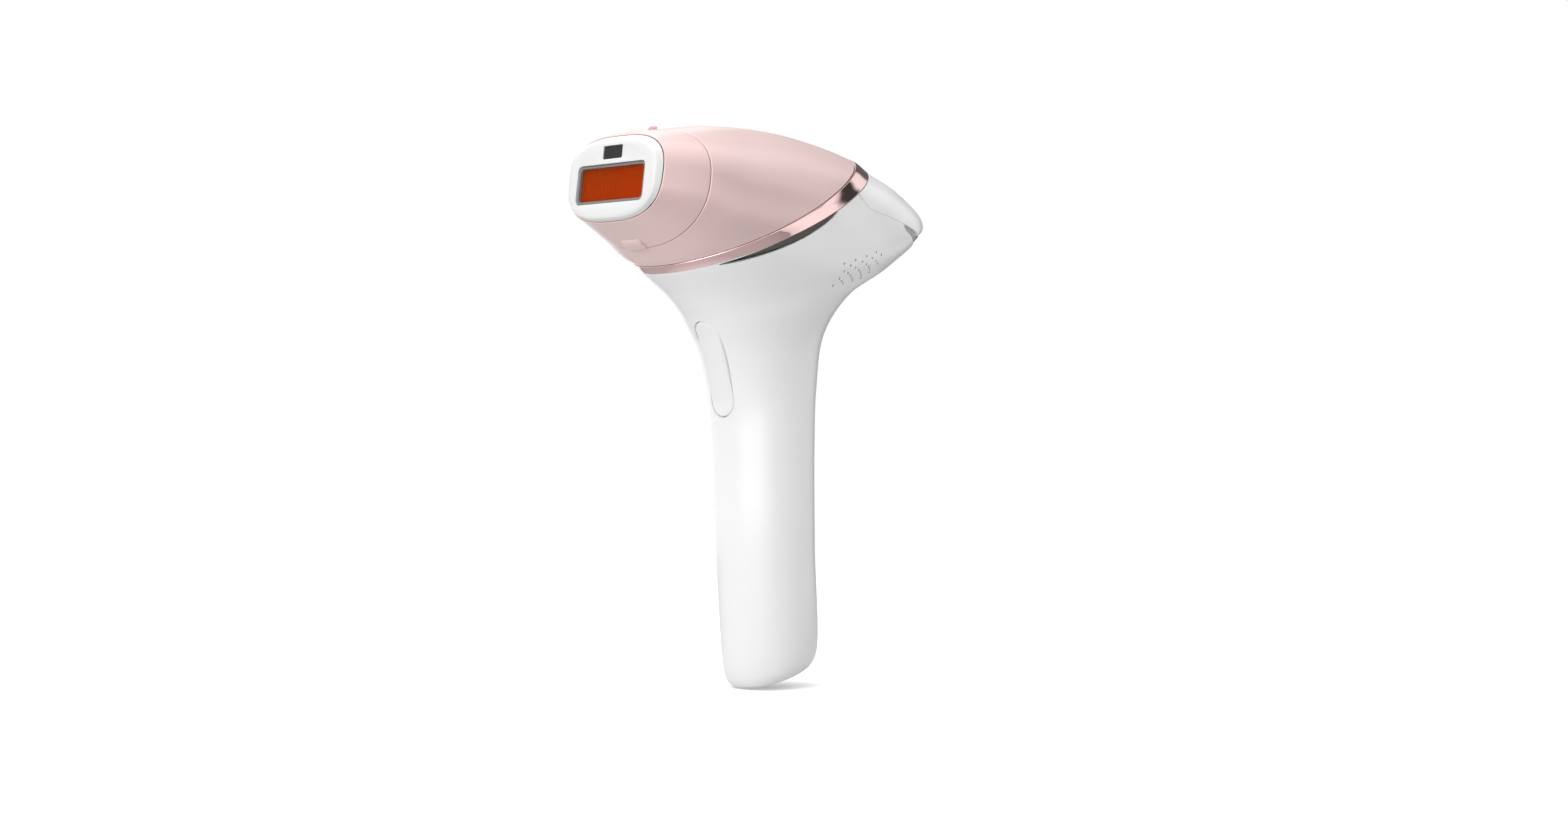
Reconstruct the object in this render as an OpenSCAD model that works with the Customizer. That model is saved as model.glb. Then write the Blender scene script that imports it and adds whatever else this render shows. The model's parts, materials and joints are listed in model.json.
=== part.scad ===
// Handheld flash-lamp hair remover: a pistol-shaped body with a clip-on front attachment.
// +Z runs up the handle, -Y is where the light leaves, and the part is symmetric about X = 0.
// The origin is the centre of the power socket's mouth, in the sole of the handle.

/* [Head and handle] */
// Full width of the head at its widest
head_w = 66; // [64:0.5:70]
// Full width of the handle at mid grip
grip_w = 34; // [34:0.5:38]
// Wall of the white housing
wall = 2.2; // [1.8:0.1:2.4]

/* [Treatment window] */
// Width of the orange glass that shows
glass_w = 34; // [30:0.5:34]
// Height of the orange glass that shows
glass_h = 11.9; // [10:0.1:11.9]
// Travel of the sprung contact frame
frame_travel = 1; // [0.4:0.1:1]

/* [Controls] */
// Length of the flash button
button_l = 35.6; // [28:0.2:36]
// Width of the flash button
button_w = 11.6; // [9:0.2:12]
// Travel of the flash button
button_travel = 1.2; // [0.6:0.1:1.2]
// Diameter of the power button
power_d = 9; // [7:0.5:10]

/* [Cooling] */
// Blades on the fan
blades = 7; // [5:1:9]
// Rows of exhaust holes on each side
vent_rows = 7; // [3:1:8]
// Holes in each row
vent_columns = 4; // [3:1:6]

/* [Power socket] */
// Bore of the entry collar
collar_d = 9.8; // [9:0.1:10.4]
// Diameter of the centre pin
pin_d = 2.1; // [1.7:0.1:2.5]

/* [Hidden] */
// ---- the skin, from the light exit to the sole of the handle ----
// Each loop: front end y, z; rear end y, z; half width; squareness; egg; bow towards the rear
half = head_w / 2;
grip = grip_w / 2;
skin = [
    [-78.5, 163.5, -74.9, 191.0, 0.69 * half, 3.2, -0.03, 0],
    [-75.5, 161.5, -70.5, 193.0, 0.773 * half, 2.8, -0.05, 1],
    [-63.3, 153.5, -57.8, 195.5, 0.94 * half, 2.45, -0.08, 2.6],
    [-60.5, 151.0, -35.0, 198.5, half, 2.3, 0, 5],
    [-58.5, 149.0, -1.0, 198.0, half, 2.2, 0.05, 4.5],
    [-56.5, 147.5, 35.2, 191.7, 0.97 * half, 2.1, 0.12, 2],
    [-54.0, 145.0, 44.0, 188.0, 0.94 * half, 2.1, 0.15, 2],
    [-49.5, 142.0, 62.5, 181.0, 0.91 * half, 2.1, 0.2, 3],
    [-44.5, 138.5, 77.0, 169.5, 0.865 * half, 2.1, 0.2, 3.5],
    [-39.7, 134.0, 60.0, 156.2, 0.8 * half, 2.1, 0.12, 3],
    [-34.5, 128.0, 35.1, 143.2, 0.73 * half, 2.1, 0.08, 2],
    [-28.5, 117.0, 20.7, 127.0, 1.2 * grip, 2.1, 0.03, 1],
    [-24.5, 99.0, 17.0, 106.0, 1.06 * grip, 2.1, 0, 0],
    [-22.5, 79.0, 16.0, 84.0, 1.03 * grip, 2.1, 0, 0],
    [-20.5, 39.0, 16.3, 47.0, grip, 2.1, 0, 0],
    [-16.8, -1.0, 17.3, 9.0, 0.95 * grip, 2.1, 0, 0],
    [-15.0, -4.6, 15.0, 4.6, 0.84 * grip, 2.1, 0, 0]
];
// Loop numbers of the named places along the skin
rim = 0.6;
seam = 2;
ring_top = 5;
ring_low = 6;
sole = len(skin) - 1;
// Half the gap between two neighbouring covers, in loops
joint_gap = 0.012;
around = 48;

// ---- the light axis, leaning back with the front face ----
lean = 7.5;
face_at = [0, -76.9, 175.7];
sensor_up = 11;
// Depths along it: the underside of the contact frame, and the carrier ring behind it
frame_under = -2;
carrier = [-11.5, -9.5];
// Room inside the contact frame, and where its four springs stand
frame_room = [43, 23];
spring_at = [12, 9.7];
// ---- the sole and the flash button ----
sole_tilt = 17.1;
button_at = [0, -28.6, 111.6];
button_tilt = 13;
panel_at = [0, 57.2, 183.3];
panel_tilt = 27;
clear = 0.3;
// Height of the flash button's foot, and where each part sits along the control cover
foot = -10;
power_v = 10;
lights_v = 3.5;
intensity_v = -2;
skin_sense_v = -11;
intensity_l = 8;
intensity_w = 5;
skin_sense_d = 5.2;
board_top = -7.6;
light_step = 3;

// ---- skin functions ----
function spacing(a, b) = sqrt(norm([a[0] - b[0], a[1] - b[1]]) + norm([a[2] - b[2], a[3] - b[3]]));
function blend(a, b, u) = a * (1 - u) + b * u;
function knot(i) =
    i < 0 ? 2 * skin[0] - skin[1] :
    i > sole ? 2 * skin[sole] - skin[sole - 1] : skin[i];

// Smooth curve through the loops, at loop number t
function station(t) =
    let (
        i = min(floor(t), sole - 1),
        p0 = knot(i - 1), p1 = knot(i), p2 = knot(i + 1), p3 = knot(i + 2),
        t1 = spacing(p0, p1),
        t2 = t1 + spacing(p1, p2),
        t3 = t2 + spacing(p2, p3),
        x = t1 + (t - i) * (t2 - t1),
        a1 = blend(p0, p1, x / t1),
        a2 = blend(p1, p2, (x - t1) / (t2 - t1)),
        a3 = blend(p2, p3, (x - t2) / (t3 - t2)),
        b1 = blend(a1, a2, x / t2),
        b2 = blend(a2, a3, (x - t1) / (t3 - t1))
    )
    blend(b1, b2, (x - t1) / (t2 - t1));

// Point at angle a of a loop, sunk by inset; angle 0 is the front end and 90 is +X
function loop_point(s, a, inset) =
    let (
        front = [s[0], s[1]],
        rear = [s[2], s[3]],
        dir = (rear - front) / norm(rear - front),
        span = norm(rear - front) - 2 * inset,
        power = 2 + 0.9 * (s[5] - 2),
        f = (1 - sign(cos(a)) * pow(abs(cos(a)), 2 / power)) / 2,
        yz = front + dir * (inset + span * f) + [dir[1], -dir[0]] * s[7] * 4 * f * (1 - f),
        x = (s[4] - inset) * sign(sin(a)) * pow(abs(sin(a)), 2 / s[5]) * (1 + s[6] * cos(a))
    )
    [x, yz[0], yz[1]];

function skin_loop(t, inset = 0) =
    let (s = station(t)) [for (k = [0:around - 1]) loop_point(s, 360 * k / around, inset)];

function skin_point(t, a, inset = 0) = loop_point(station(t), a, inset);

// Circle of radius r in the sole's plane, at height h above it
function sole_circle(r, h) =
    [for (k = [0:around - 1]) let (a = 360 * k / around, v = -r * cos(a))
        [r * sin(a), v * cos(sole_tilt) - h * sin(sole_tilt),
            v * sin(sole_tilt) + h * cos(sole_tilt)]];

function moved(points, by) = [for (p = points) p + by];
function reversed(list) = [for (k = [len(list) - 1:-1:0]) list[k]];
function middle(points) = [for (c = [0:2]) [for (p = points) p[c]] * [for (p = points) 1] / len(points)];
function steps(from, to, n) = [for (k = [0:n]) from + (to - from) * k / n];

// ---- solids from loops ----
// Closed tube through a ring of loops
module tube(loops) {
    n = len(loops[0]);
    m = len(loops);
    faces = [for (i = [0:m - 1]) for (k = [0:n - 1])
        let (a = i * n + k, b = i * n + (k + 1) % n, j = (i + 1) % m,
            c = j * n + (k + 1) % n, d = j * n + k)
        each [[a, b, c], [a, c, d]]];
    polyhedron([for (l = loops) for (p = l) p], faces, convexity = 6);
}

// Solid through a stack of loops, closed with a fan at both ends
module stack(loops) {
    n = len(loops[0]);
    m = len(loops);
    sides = [for (i = [0:m - 2]) for (k = [0:n - 1])
        let (a = i * n + k, b = i * n + (k + 1) % n)
        each [[a, b, b + n], [a, b + n, a + n]]];
    front = [for (k = [0:n - 1]) [m * n, (k + 1) % n, k]];
    rear = [for (k = [0:n - 1]) [(m - 1) * n + k, (m - 1) * n + (k + 1) % n, m * n + 1]];
    points = concat([for (l = loops) for (p = l) p], [middle(loops[0]), middle(loops[m - 1])]);
    polyhedron(points, concat(sides, front, rear), convexity = 6);
}

// Curved sheet between two grids of points
module sheet(top, under) {
    m = len(top);
    n = len(top[0]);
    half_count = m * n;
    cells = [for (i = [0:m - 2]) for (k = [0:n - 2]) [i * n + k, i * n + k + 1]];
    upper = [for (c = cells) each [[c[0], c[1], c[1] + n], [c[0], c[1] + n, c[0] + n]]];
    lower = [for (f = upper) [f[2] + half_count, f[1] + half_count, f[0] + half_count]];
    edge = concat(
        [for (k = [0:n - 1]) k],
        [for (i = [1:m - 1]) i * n + n - 1],
        [for (k = [n - 2:-1:0]) (m - 1) * n + k],
        [for (i = [m - 2:-1:1]) i * n]
    );
    rim_faces = [for (k = [0:len(edge) - 1])
        let (a = edge[k], b = edge[(k + 1) % len(edge)])
        each [[b, a, a + half_count], [b, a + half_count, b + half_count]]];
    points = concat([for (r = top) for (p = r) p], [for (r = under) for (p = r) p]);
    polyhedron(points, concat(upper, lower, rim_faces), convexity = 6);
}

// Sheet that follows the skin; each row is [loop number, first angle, last angle]
module skin_sheet(rows, out, in, n = 14) {
    sheet(
        [for (r = rows) [for (a = steps(r[1], r[2], n)) skin_point(r[0], a, out)]],
        [for (r = rows) [for (a = steps(r[1], r[2], n)) skin_point(r[0], a, in)]]
    );
}

// Ring-shaped cover between two loops
module cover(from, to, n, thickness, proud = 0) {
    ts = steps(from, to, n);
    tube(concat([for (t = ts) skin_loop(t, -proud)], reversed([for (t = ts) skin_loop(t, thickness)])));
}

// ---- small shapes ----
module on_axis(d = 0) {
    translate(face_at) rotate([90 - lean, 0, 0]) translate([0, 0, d]) children();
}

module on_sole(h = 0) {
    rotate([sole_tilt, 0, 0]) translate([0, 0, h]) children();
}

module on_button(d = 0) {
    translate(button_at) rotate([90 + button_tilt, 0, 0]) translate([0, 0, d]) children();
}

module on_panel(v = 0, d = 0) {
    translate(panel_at) rotate([-panel_tilt, 0, 0]) translate([0, v, d]) children();
}

module rounded(w, h, r) {
    square([w - 2 * r, h], center = true);
    square([w, h - 2 * r], center = true);
    for (x = [-1, 1], y = [-1, 1])
        translate([x * (w / 2 - r), y * (h / 2 - r)]) circle(r = r, $fn = 32);
}

module plate(w, h, r, from, to) {
    translate([0, 0, from]) linear_extrude(to - from) rounded(w, h, r);
}

module ring_plate(w, h, r, hole_w, hole_h, hole_r, from, to) {
    translate([0, 0, from]) linear_extrude(to - from) difference() {
        rounded(w, h, r);
        rounded(hole_w, hole_h, hole_r);
    }
}

module stadium(l, w, from, to) {
    plate(w, l, w / 2 - 0.01, from, to);
}

module rod(r, from, to) {
    translate([0, 0, from]) cylinder(r = r, h = to - from, $fn = 48);
}

// Coil spring standing on z = 0
module coil(r, wire, turns, h, n = 10, m = 5) {
    count = turns * n;
    loops = [for (k = [0:count])
        let (a = 360 * k / n, z = wire + (h - 2 * wire) * k / count)
        [for (j = [0:m - 1]) let (b = -360 * j / m)
            [(r + wire * cos(b)) * cos(a), (r + wire * cos(b)) * sin(a), z + wire * sin(b)]]];
    stack(loops);
}

// Insulated wire through a list of points
module lead(points, r = 0.7) {
    for (k = [0:len(points) - 2]) hull() {
        translate(points[k]) sphere(r = r, $fn = 8);
        translate(points[k + 1]) sphere(r = r, $fn = 8);
    }
}

// ---- outlines on the skin ----
// Lower edge of the control cover, as [loop number, angle], and its rows of skin points
cover_edge = [
    [6, 121.4], [6.3, 118.6], [6.6, 116.3], [6.75, 117.2], [6.9, 119.1], [7.2, 123.3], [7.54, 128.6],
    [7.9, 135.2], [8.11, 139.4]
];
cover_rows = concat(steps(6.02, 7.54, 9), [7.72, 7.9, 8.1]);
// The same for the status window, which lies round the cover's rear end
status_edge = [[7.58, 127.8], [7.66, 126.3], [7.78, 127.3], [8.11, 131.8], [8.34, 136]];
status_rows = [7.58, 7.66, 7.78, 7.9, 8.1, 8.22, 8.34];
// First exhaust hole and the pitch of the holes, as [loop number, angle]
vent_from = [7.85, 84];
vent_step = [0.17, 5.4];
// Gap at the sides of both covers in degrees, and at either end in loops
side_gap = 0.45;
end_gap = 0.014;

function widened(rows) = concat([rows[0] - end_gap], rows, [rows[len(rows) - 1] + end_gap]);

// Sheet over the rear of the head, symmetric about the top, bounded by an edge grown by some degrees
module rear_sheet(rows, edge, grow, out, in) {
    skin_sheet([for (t = rows) let (a = lookup(t, edge) - grow) [t, a, 360 - a]], out, in, 16);
}

module cover_room() {
    rear_sheet(widened(cover_rows), cover_edge, side_gap, -3, wall + 3);
}

// Air inlet under the ring: first and last angle, greatest height in loops, gap around it
inlet = [36, 100];
inlet_h = 0.3;
inlet_gap = 0.012;

// Grid of skin points over one air inlet, grown by a number of loops
function inlet_grid(side, grow, depth) =
    let (
        inner = steps(inlet[0], inlet[1], 12),
        angles = [for (a = inner) a == inlet[0] ? a - 30 * grow : a == inlet[1] ? a + 30 * grow : a],
        top = ring_low + joint_gap,
        span = inlet[1] - inlet[0],
        cells = [for (a = side > 0 ? angles : reversed(angles))
            let (arch = pow(max(0, sin(180 * (a - inlet[0]) / span)), 0.6))
            [side > 0 ? a : 360 - a, top + max(inlet_h * arch, 0.04) + grow]]
    )
    [for (u = [0, 0.5, 1]) [for (c = cells) skin_point((top - grow) * (1 - u) + c[1] * u, c[0], depth)]];

module inlet_sheet(side, grow, out, in) {
    sheet(inlet_grid(side, grow, out), inlet_grid(side, grow, in));
}

// Exhaust holes, in a fan on each side of the tail's underside
module exhaust_holes() {
    for (side = [-1, 1], i = [0:vent_rows - 1], j = [0:vent_columns - 1]) {
        t = vent_from[0] + vent_step[0] * i;
        a = vent_from[1] + vent_step[1] * (j + 0.5 * (i % 2));
        out = skin_point(t, a, -1);
        in = skin_point(t, a, 1.4 * wall);
        hull() {
            translate([side * out[0], out[1], out[2]]) sphere(r = 0.5, $fn = 6);
            translate([side * in[0], in[1], in[2]]) sphere(r = 0.5, $fn = 6);
        }
    }
}

// ---- outer covers ----
module main_housing() {
    outer = concat(steps(ring_low + joint_gap, 10, 12), steps(10.5, 15, 9), [15.4, 15.75, sole]);
    inner = concat(steps(ring_low + joint_gap, 10, 8), steps(10.7, 15, 6), [15.5]);
    color("white") difference() {
        tube(concat(
            [for (t = outer) skin_loop(t)],
            [sole_circle(6.7, 0), sole_circle(6.7, wall)],
            reversed([for (t = inner) skin_loop(t, wall)])
        ));
        cover_room();
        rear_sheet(widened(status_rows), status_edge, side_gap, -3, wall + 3);
        for (side = [-1, 1]) inlet_sheet(side, inlet_gap, -3, wall + 3);
        on_button() stadium(button_l + 2 * clear, button_w + 2 * clear, -12, 12);
        exhaust_holes();
    }
}

module head_cover() {
    color("pink") cover(seam + joint_gap, ring_top - joint_gap, 11, 2.4);
}

module trim_ring() {
    color("rosybrown") cover(ring_top + joint_gap, ring_low - joint_gap, 4, 2, 0.2);
}

module rear_panel() {
    color("whitesmoke") difference() {
        rear_sheet(cover_rows, cover_edge, 0, 0, 1.8);
        on_panel(power_v, -15) cylinder(r = power_d / 2 + clear, h = 30, $fn = 48);
        on_panel(intensity_v) stadium(intensity_l + 2 * clear, intensity_w + 2 * clear, -15, 15);
        on_panel(skin_sense_v, -15) cylinder(r = skin_sense_d / 2 + clear, h = 30, $fn = 48);
        for (k = [-2:2])
            on_panel(lights_v, -15) translate([light_step * k, 0, 0]) cylinder(r = 0.7, h = 30, $fn = 24);
    }
}

module status_light_window() {
    color("dimgray") difference() {
        rear_sheet(status_rows, status_edge, 0, 0.5, 2);
        cover_room();
    }
}

module air_inlet_left() {
    color("darkslategray") inlet_sheet(-1, 0, 1, 2.6);
}

module air_inlet_right() {
    color("darkslategray") inlet_sheet(1, 0, 1, 2.6);
}

// ---- flash button ----
module flash_button() {
    color("white") {
        intersection() {
            stack([for (t = steps(9.2, 13, 14)) skin_loop(t)]);
            on_button() stadium(button_l, button_w, -6.4, 9);
        }
        on_button() stadium(button_l + 2.4, button_w + 2.4, -7.6, -6.4);
        on_button() rod(2, foot, -7.6);
    }
}

module flash_button_spring() {
    color("silver") on_button(-11.4) coil(3, 0.3, 4, 3.7);
}

module flash_switch() {
    color("black") on_button() {
        plate(8, 8, 0.6, -15.4, -11.5);
        rod(1.2, -11.5, foot - button_travel - 0.15);
    }
}

// ---- the clip-on attachment ----
lip_from = 0.66;
lip_proud = 0.45;
function lip_inset(t) = min(1.8, 5 * max(0, t - 0.96));

module attachment_shell() {
    ts = concat([lip_from, 0.8, 0.96], steps(1.15, seam - joint_gap, 4));
    color("pink") {
        tube(concat(
            [for (t = ts) skin_loop(t, -lip_proud * (seam - t) / (seam - lip_from))],
            reversed([for (t = ts) skin_loop(t, lip_inset(t))])
        ));
        for (end = [0, 1]) finger_catch(end);
    }
}

// Raised pad that a fingertip pulls, at the front (0) or rear (1) end of the seam
module finger_catch(end) {
    a = 180 * end;
    spread = end == 0 ? 5.5 : 4.2;
    hull() for (t = [1.66, 1.78, 1.88], side = [-1, 1]) {
        p = skin_point(t, a + spread * side, t < 1.7 ? 0.6 : -0.4);
        translate(p) sphere(r = 0.7, $fn = 12);
    }
}

module attachment_carrier() {
    color("whitesmoke") on_axis() {
        ring_plate(46, 26, 11, 43, 17.4, 2, carrier[0], carrier[1]);
        for (x = [-1, 1], y = [-1, 1])
            translate([x * spring_at[0], y * spring_at[1], 0]) rod(0.8, carrier[1], -7.2);
        for (y = [-1, 1]) translate([0, 11.4 * y, 0]) plate(12, 1.6, 0.4, -14.6, carrier[0]);
    }
}

module contact_frame() {
    back = [0, cos(lean), -sin(lean)];
    skirt = skin_loop(rim, 0.8);
    color("white") difference() {
        stack(concat(
            [for (t = [0, 0.1, 0.25, 0.42, rim]) skin_loop(t)],
            [skirt, moved(skirt, 3 * back)]
        ));
        on_axis() plate(frame_room[0], frame_room[1], 6, -12, frame_under);
        on_axis() plate(glass_w + 2.1, glass_h + 2.1, 2, -5, 5);
        on_axis() translate([0, sensor_up, 0]) plate(10.4, 4.8, 0.5, -5, 5);
    }
}

module contact_springs() {
    color("silver") on_axis(carrier[1] + 0.05)
        for (x = [-1, 1], y = [-1, 1]) translate([x * spring_at[0], y * spring_at[1], 0])
            coil(1.35, 0.2, 6, frame_under - carrier[1] - 0.1);
}

module contact_switches() {
    color("black") on_axis() for (x = [-1, 1]) translate([15.6 * x, spring_at[1], 0]) {
        plate(3, 2.4, 0.3, carrier[1] + 0.05, -6);
        plate(1.2, 1, 0.2, -6, frame_under - frame_travel - 0.05);
    }
}

module filter_glass() {
    color("darkorange") on_axis() plate(glass_w + 1.3, glass_h + 1.3, 1.6, -3.5, -1.55);
}

module window_bezel() {
    color("gray") on_axis() {
        ring_plate(glass_w + 1.5, glass_h + 1.5, 1.7, glass_w, glass_h, 1.4, -1.5, -0.5);
    }
}

module attachment_reflector() {
    color("silver") on_axis() difference() {
        hull() {
            plate(glass_w + 1.4, glass_h + 1.4, 0.5, -4.6, -4.2);
            plate(42, 18, 0.5, -15.4, -15);
        }
        hull() {
            plate(glass_w, glass_h, 0.3, -4.6, -4.1);
            plate(40.6, 16.6, 0.3, -15.5, -15);
        }
    }
}

module sensor_window() {
    color([0.1, 0.1, 0.1]) on_axis() translate([0, sensor_up, 0]) plate(10, 4.4, 0.4, -1.8, -0.3);
}

module sensor_board() {
    color("darkgreen") on_axis() translate([0, spring_at[1] + 0.2, 0]) {
        plate(14, 2.4, 0.3, carrier[1] + 0.05, -8);
        plate(5, 2.2, 0.3, -8, frame_under - frame_travel - 0.3);
    }
}

// Row of sprung pins that feed the attachment
pin_step = 2.6;
pins_v = 13.6;

module contact_pins() {
    color("gold") on_axis()
        for (k = [-1.5:1.5]) translate([pin_step * k, pins_v, 0]) rod(0.5, -20.5, -16.9);
}

// ---- light source ----
module nose_plate() {
    color("whitesmoke") on_axis() difference() {
        ring_plate(50, 31, 13, 42, 18, 2, -19.6, -17.6);
        for (k = [-1.5:1.5]) translate([pin_step * k, pins_v, -25]) cylinder(r = 0.6, h = 20, $fn = 24);
    }
}

module window_gasket() {
    color([0.2, 0.2, 0.2]) on_axis() ring_plate(45.6, 21.6, 3, 42.4, 18.4, 2, -20.2, -19.65);
}

module exit_window() {
    color("lightblue") on_axis() plate(45, 21, 2, -22.2, -20.25);
}

module lamp_housing() {
    color([0.25, 0.25, 0.27]) on_axis() {
        ring_plate(46, 22, 2, 42.6, 18.6, 1, -47, -22.3);
        plate(46, 22, 2, -49, -47);
    }
}

lamp_d = -33.5;

// Trough reflector: half an ellipse in cross-section, running along X
module lamp_reflector() {
    depth = 17;
    opening = 8.6;
    function trough(r) = [for (k = [0:16]) let (a = 180 * k / 16)
        [(opening + r) * cos(a), -(depth + r) * sin(a)]];
    color("silver") on_axis(-23) rotate([90, 0, 90]) translate([0, 0, -18])
        linear_extrude(36) polygon(concat(trough(0.6), reversed(trough(0))));
}

module flash_lamp() {
    color("lightcyan") on_axis(lamp_d) rotate([0, 90, 0]) rod(2.9, -17.6, 17.6);
}

module lamp_end_caps() {
    color("slategray") on_axis(lamp_d) for (x = [-1, 1]) rotate([0, 90 * x, 0]) rod(4, 18.2, 21);
}

module heat_sink() {
    color("silver") on_axis() {
        plate(40, 20, 1, -51.2, -49.1);
        for (k = [-4:4]) translate([4.5 * k, 0, 0]) plate(1.2, 19, 0.2, -58, -51.2);
    }
}

// ---- cooling fan ----
fan_d = -69;
shaft_r = 1;
bearing_r = 2;

module fan_housing() {
    color([0.15, 0.15, 0.15]) on_axis(fan_d) {
        linear_extrude(10) difference() {
            rounded(34, 34, 4);
            circle(r = 15.6, $fn = 64);
        }
        difference() {
            union() {
                rod(7, 0, 1.4);
                for (k = [0:2])
                    rotate(120 * k + 30) translate([10, 0, 0.7]) cube([12, 2, 1.4], center = true);
                rod(3, 0, 4.4);
            }
            rod(bearing_r + 0.02, -1, 7);
        }
    }
}

module fan_bearing() {
    color("goldenrod") on_axis(fan_d) difference() {
        rod(bearing_r, 0.4, 4.2);
        rod(shaft_r + 0.05, -1, 7);
    }
}

module fan_rotor() {
    color([0.22, 0.22, 0.22]) on_axis(fan_d) {
        rod(shaft_r, 0.6, 8);
        difference() {
            rod(6.5, 1.9, 9);
            rod(5.4, 1, 8);
        }
        for (k = [0:blades - 1]) rotate(360 * k / blades) translate([10.4, 0, 5.2])
            rotate([38, 0, 0]) cube([8.4, 7, 0.9], center = true);
    }
}

// ---- power electronics ----
board_z = 66;
board_l = 100;
screw_at = [7.5, 46];

// Four screw holes in a board that lies across its own Z axis
module screw_holes(r) {
    for (x = [-1, 1], y = [-1, 1])
        translate([screw_at[0] * x, screw_at[1] * y, -5]) cylinder(r = r, h = 10, $fn = 24);
}

module capacitor() {
    color("midnightblue") on_axis() rod(11, -114, -74);
}

module capacitor_cradle() {
    color("dimgray") on_axis() for (d = [-82, -108]) translate([0, 0, d])
        linear_extrude(4) difference() {
            translate([0, -6]) square([27, 16], center = true);
            circle(r = 11.05, $fn = 64);
        }
}

module chassis() {
    color("lightgray") {
        translate([0, 9.2, board_z]) rotate([90, 0, 0]) difference() {
            plate(20, board_l + 6, 3, -0.5, 0.9);
            screw_holes(1.05);
        }
        for (x = [-1, 1]) translate([10 * x, 6.2, board_z]) cube([1.4, 4.4, board_l - 4], center = true);
    }
}

module main_board() {
    color("seagreen") translate([0, 6.9, board_z]) rotate([90, 0, 0]) difference() {
        plate(18, board_l, 1, -0.8, 0.8);
        screw_holes(1.15);
    }
}

module board_screws() {
    color("dimgray") for (x = [-1, 1], y = [-1, 1])
        translate([screw_at[0] * x, 0, board_z + screw_at[1] * y]) rotate([90, 0, 0]) {
            rod(1, -9.8, -6.05);
            rod(1.4, -6.05, -4.8);
        }
}

module hv_transformer() {
    color("darkgoldenrod") {
        translate([0, -0.6, 62]) cube([15, 12, 16], center = true);
        for (z = [-1, 1]) translate([0, -0.6, 62 + 9.5 * z]) cube([13, 10, 3], center = true);
    }
}

module trigger_coil() {
    color("firebrick") translate([0, 0.4, 36]) {
        cylinder(r = 5, h = 12, center = true, $fn = 48);
        translate([0, 3.4, 0]) cube([8, 3.6, 10], center = true);
    }
}

module wiring() {
    color("red") {
        for (x = [-1, 1]) {
            lead([[3 * x, -4.6, 18.3], [5 * x, 1, 21], [4 * x, 5.3, 25]]);
            lead([[5 * x, 4, 112], [6 * x, -4, 124], [12 * x, -22, 148], [19 * x, -34, 155]]);
        }
        lead([[0, 8, 122], [2, 22, 134], [3, 28, 142]]);
    }
}

// ---- control cover electronics ----
module control_board() {
    color("seagreen") on_panel() plate(20, 30, 1, board_top - 1.4, board_top);
}

module panel_switches() {
    color("black") for (v = [power_v, intensity_v, skin_sense_v]) on_panel(v) {
        plate(5, 5, 0.4, board_top, -5.6);
        rod(1, -5.6, -5.05);
    }
}

module indicator_lights() {
    color("lightyellow") on_panel(lights_v)
        for (k = [-2:2]) translate([light_step * k, 0, 0]) rod(0.6, board_top + 0.05, -0.9);
}

// Push button: cap that stands in the cover, on a wider flange behind it
module push_button(v, r, top) {
    on_panel(v) {
        rod(r, -3.7, top);
        rod(r + 1, -4.5, -3.7);
    }
}

module power_button() {
    color("white") push_button(power_v, power_d / 2, 0.45);
}

module intensity_button() {
    color("white") on_panel(intensity_v) {
        stadium(intensity_l, intensity_w, -3.7, 0.15);
        stadium(intensity_l + 1.4, intensity_w + 1.4, -4.5, -3.7);
    }
}

module skin_sense_button() {
    color("white") push_button(skin_sense_v, skin_sense_d / 2, -1.2);
}

// ---- power socket in the sole ----
module socket_collar() {
    color("gray") on_sole() difference() {
        union() {
            rod(6.5, 0.1, 6);
            rod(8.2, wall + 0.4, 4.2);
        }
        rod(collar_d / 2, -1, 7);
    }
}

module dc_socket() {
    color([0.1, 0.1, 0.1]) on_sole() difference() {
        rod(6.2, 6.05, 18);
        rod(2.8, 5, 16);
    }
}

module socket_pin() {
    color("silver") on_sole() rod(pin_d / 2, 7.5, 16);
}

main_housing();
head_cover();
trim_ring();
rear_panel();
status_light_window();
air_inlet_left();
air_inlet_right();
flash_button();
flash_button_spring();
flash_switch();
attachment_shell();
attachment_carrier();
contact_frame();
contact_springs();
contact_switches();
filter_glass();
window_bezel();
attachment_reflector();
sensor_window();
sensor_board();
contact_pins();
nose_plate();
exit_window();
window_gasket();
lamp_housing();
lamp_reflector();
flash_lamp();
lamp_end_caps();
heat_sink();
fan_housing();
fan_bearing();
fan_rotor();
capacitor();
capacitor_cradle();
chassis();
main_board();
hv_transformer();
trigger_coil();
board_screws();
control_board();
panel_switches();
indicator_lights();
power_button();
intensity_button();
skin_sense_button();
socket_collar();
dc_socket();
socket_pin();
wiring();
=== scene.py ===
"""Looks of the hair remover: smooth skins, glass, chrome and soft studio light on the CAD frame.

The skin is the CAD model's own surface, a run of closed loops from the light exit to the sole of
the handle, rebuilt here at a fine pitch with rounded edges. Lengths are in millimetres until a
mesh is made.
"""
import json
import math

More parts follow.
